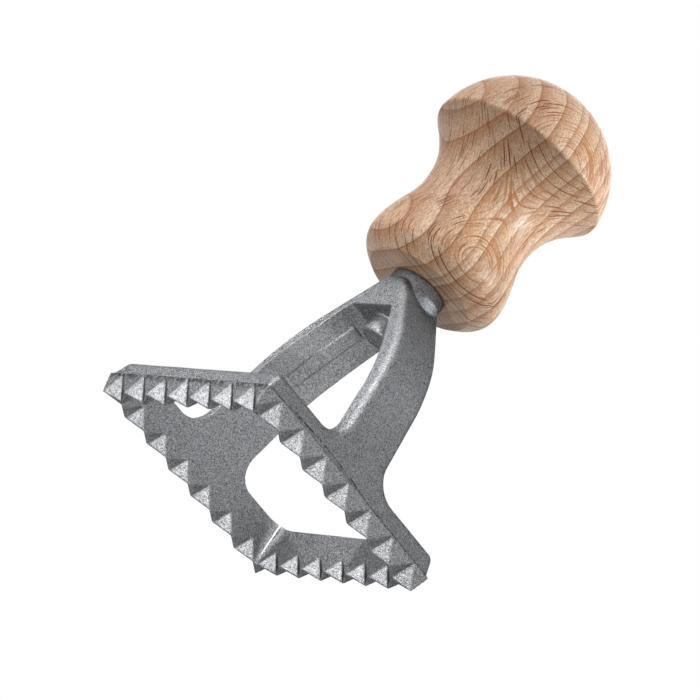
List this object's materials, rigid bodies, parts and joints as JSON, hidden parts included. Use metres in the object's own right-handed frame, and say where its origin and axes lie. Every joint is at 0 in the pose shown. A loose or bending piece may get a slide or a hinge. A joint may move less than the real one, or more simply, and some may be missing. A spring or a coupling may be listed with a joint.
{
  "type": "ravioli stamp",
  "caption": "Hand stamp for cutting square ravioli: a cast metal square with a zigzag toothed edge, a two-armed fork above it and a turned wooden knob handle.",
  "frame": {"origin": "centre of the square on the plane of the tooth tips, under the handle's axis", "axes": "+Z along the handle's axis, from the tooth tips to the knob; the fork's arms rise from the -X and +X sides"},
  "size_m": [0.0578, 0.0578, 0.1143],
  "materials": {
    "cast_metal": "as cast, matte, fine sparkling grain",
    "handle_wood": "satin, pale beech with fine ring lines",
    "stud_steel": "plain, hidden in use"
  },
  "bodies": {
    "root": {"cutter_frame": "cast_metal", "handle": "handle_wood", "handle_stud": "stud_steel"}
  },
  "joints": []
}
